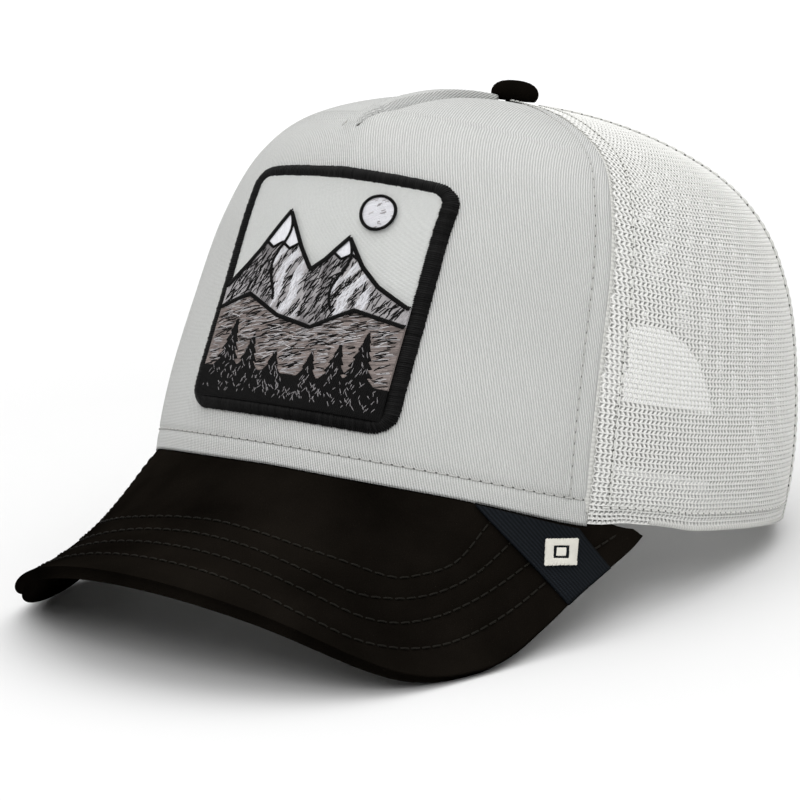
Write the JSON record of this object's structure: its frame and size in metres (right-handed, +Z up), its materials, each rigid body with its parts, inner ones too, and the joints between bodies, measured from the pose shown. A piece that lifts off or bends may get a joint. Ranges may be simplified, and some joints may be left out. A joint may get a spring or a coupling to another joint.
{
  "type": "trucker hat",
  "caption": "Light grey trucker hat with a stiff twill front, net sides and back, a curved dark suede peak, a ribbon label and a bordered landscape patch.",
  "frame": {"origin": "on the surface it rests on, below the middle of its bounding box", "axes": "+X to the wearer's left, +Y to the back of the hat, +Z up with the hat resting on its peak and the back of its rim"},
  "size_m": [0.1684, 0.2682, 0.1387],
  "materials": {
    "twill": "matt cotton twill, steep fine diagonal ribs, light grey",
    "net": "open knitted polyester net, pale warm grey",
    "suede": "matt brown-black suede cloth with a short soft nap",
    "ribbon": "dense dark navy-black woven ribbon, slight sheen",
    "cream_thread": "cream woven thread",
    "patch_twill": "fine diagonal patch twill, light grey",
    "black_thread": "black satin-stitch thread, soft sheen",
    "taupe_thread": "taupe embroidery thread, soft sheen",
    "grey_thread": "silver-grey embroidery thread, soft sheen",
    "white_thread": "white embroidery thread, soft sheen",
    "strap_plastic": "pale grey satin plastic"
  },
  "bodies": {
    "root": {"front_panel": "twill", "side_panel_left": "net", "side_panel_right": "net", "back_panel_left": "net", "back_panel_right": "net", "snap_strap": "strap_plastic", "peak": "suede", "peak_label": "ribbon", "label_motif": "cream_thread", "button": "suede", "patch_ground": "patch_twill", "patch_border": "black_thread", "patch_trees": "black_thread", "patch_hills": "taupe_thread", "patch_mountains": "grey_thread", "patch_moon": "white_thread", "patch_snow_left": "white_thread", "patch_snow_right": "white_thread"}
  },
  "joints": []
}
